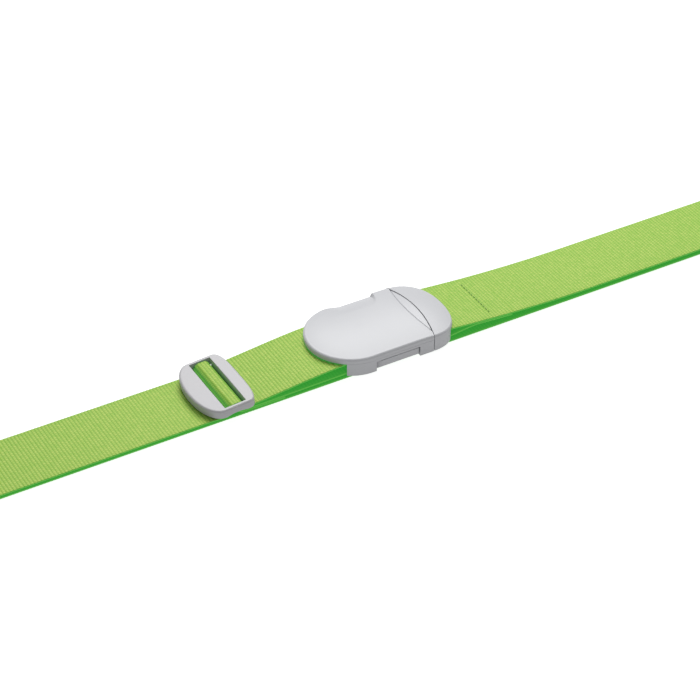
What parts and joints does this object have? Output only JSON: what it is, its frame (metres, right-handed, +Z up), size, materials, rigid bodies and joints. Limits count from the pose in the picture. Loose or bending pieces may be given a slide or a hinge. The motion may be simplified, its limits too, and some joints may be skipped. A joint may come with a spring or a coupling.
{
  "type": "luggage strap",
  "caption": "Adjustable luggage strap: a webbing belt closed by a covered side-release buckle, with a three-bar slider that sets its length, lying as a flattened loop.",
  "frame": {"origin": "centre of the flattened loop on the surface it lies on, which is also below the centre of the buckle's rounded left end", "axes": "+X along the strap towards the end sewn to the buckle's clip half, +Y across the webbing, +Z up"},
  "size_m": [0.92, 0.0626, 0.0186],
  "materials": {
    "webbing": "ribbed woven polyester, yellow-green",
    "thread": "sewing thread, green",
    "plastic": "satin silver-grey",
    "inner_plastic": "satin mid grey"
  },
  "bodies": {
    "strap": {"female_cover": "plastic", "female_body": "plastic", "webbing_lower_left": "webbing", "webbing_lower_right": "webbing", "webbing_left_far": "webbing", "webbing_left_near": "webbing", "webbing_top_layer": "webbing", "webbing_female_wrap": "webbing", "webbing_sewn_layer": "webbing", "webbing_right_near": "webbing", "webbing_right_far": "webbing"},
    "slider": {"slider_frame": "plastic", "webbing_slider_wave": "webbing", "webbing_slider_loop": "webbing", "slider_stitching": "thread"},
    "clip_half": {"male_cap": "plastic", "male_body": "inner_plastic", "webbing_male_loop": "webbing", "male_stitching": "thread"},
    "near_latch": {"near_release_arm": "inner_plastic", "near_release_pad": "plastic"},
    "far_latch": {"far_release_arm": "inner_plastic", "far_release_pad": "plastic"},
    "left_fold": {"webbing_left_fold": "webbing"},
    "right_fold": {"webbing_right_fold": "webbing"}
  },
  "joints": [
    {"name": "slider_slide", "type": "slide", "parent": "strap", "child": "slider", "axis": [1, 0, 0], "range_m": [-0.06, 0.03], "deforming": ["webbing_left_near", "webbing_top_layer", "webbing_sewn_layer"]},
    {"name": "left_fold_slide", "type": "slide", "parent": "strap", "child": "left_fold", "axis": [1, 0, 0], "range_m": [-0.016, 0.031], "deforming": ["webbing_left_far", "webbing_lower_left"]},
    {"name": "clip_slide", "type": "slide", "parent": "strap", "child": "clip_half", "axis": [1, 0, 0], "range_m": [0, 0.048], "deforming": ["webbing_right_near", "near_release_arm", "far_release_arm", "near_release_pad", "far_release_pad"]},
    {"name": "right_fold_slide", "type": "slide", "parent": "strap", "child": "right_fold", "axis": [1, 0, 0], "range_m": [0, 0.025], "deforming": ["webbing_right_far", "webbing_lower_right"]},
    {"name": "near_latch_press", "type": "hinge", "parent": "clip_half", "child": "near_latch", "pos_m": [0.0482, -0.023, 0.0075], "axis": [0, 0, -1], "range_deg": [0, 7], "stiffness_Nm_per_rad": 0.5},
    {"name": "far_latch_press", "type": "hinge", "parent": "clip_half", "child": "far_latch", "pos_m": [0.0482, 0.023, 0.0075], "axis": [0, 0, 1], "range_deg": [0, 7], "stiffness_Nm_per_rad": 0.5}
  ],
  "couplings": [
    {"joint": "left_fold_slide", "follows": "slider_slide", "ratio": -0.5},
    {"joint": "right_fold_slide", "follows": "clip_slide", "ratio": 0.5}
  ]
}
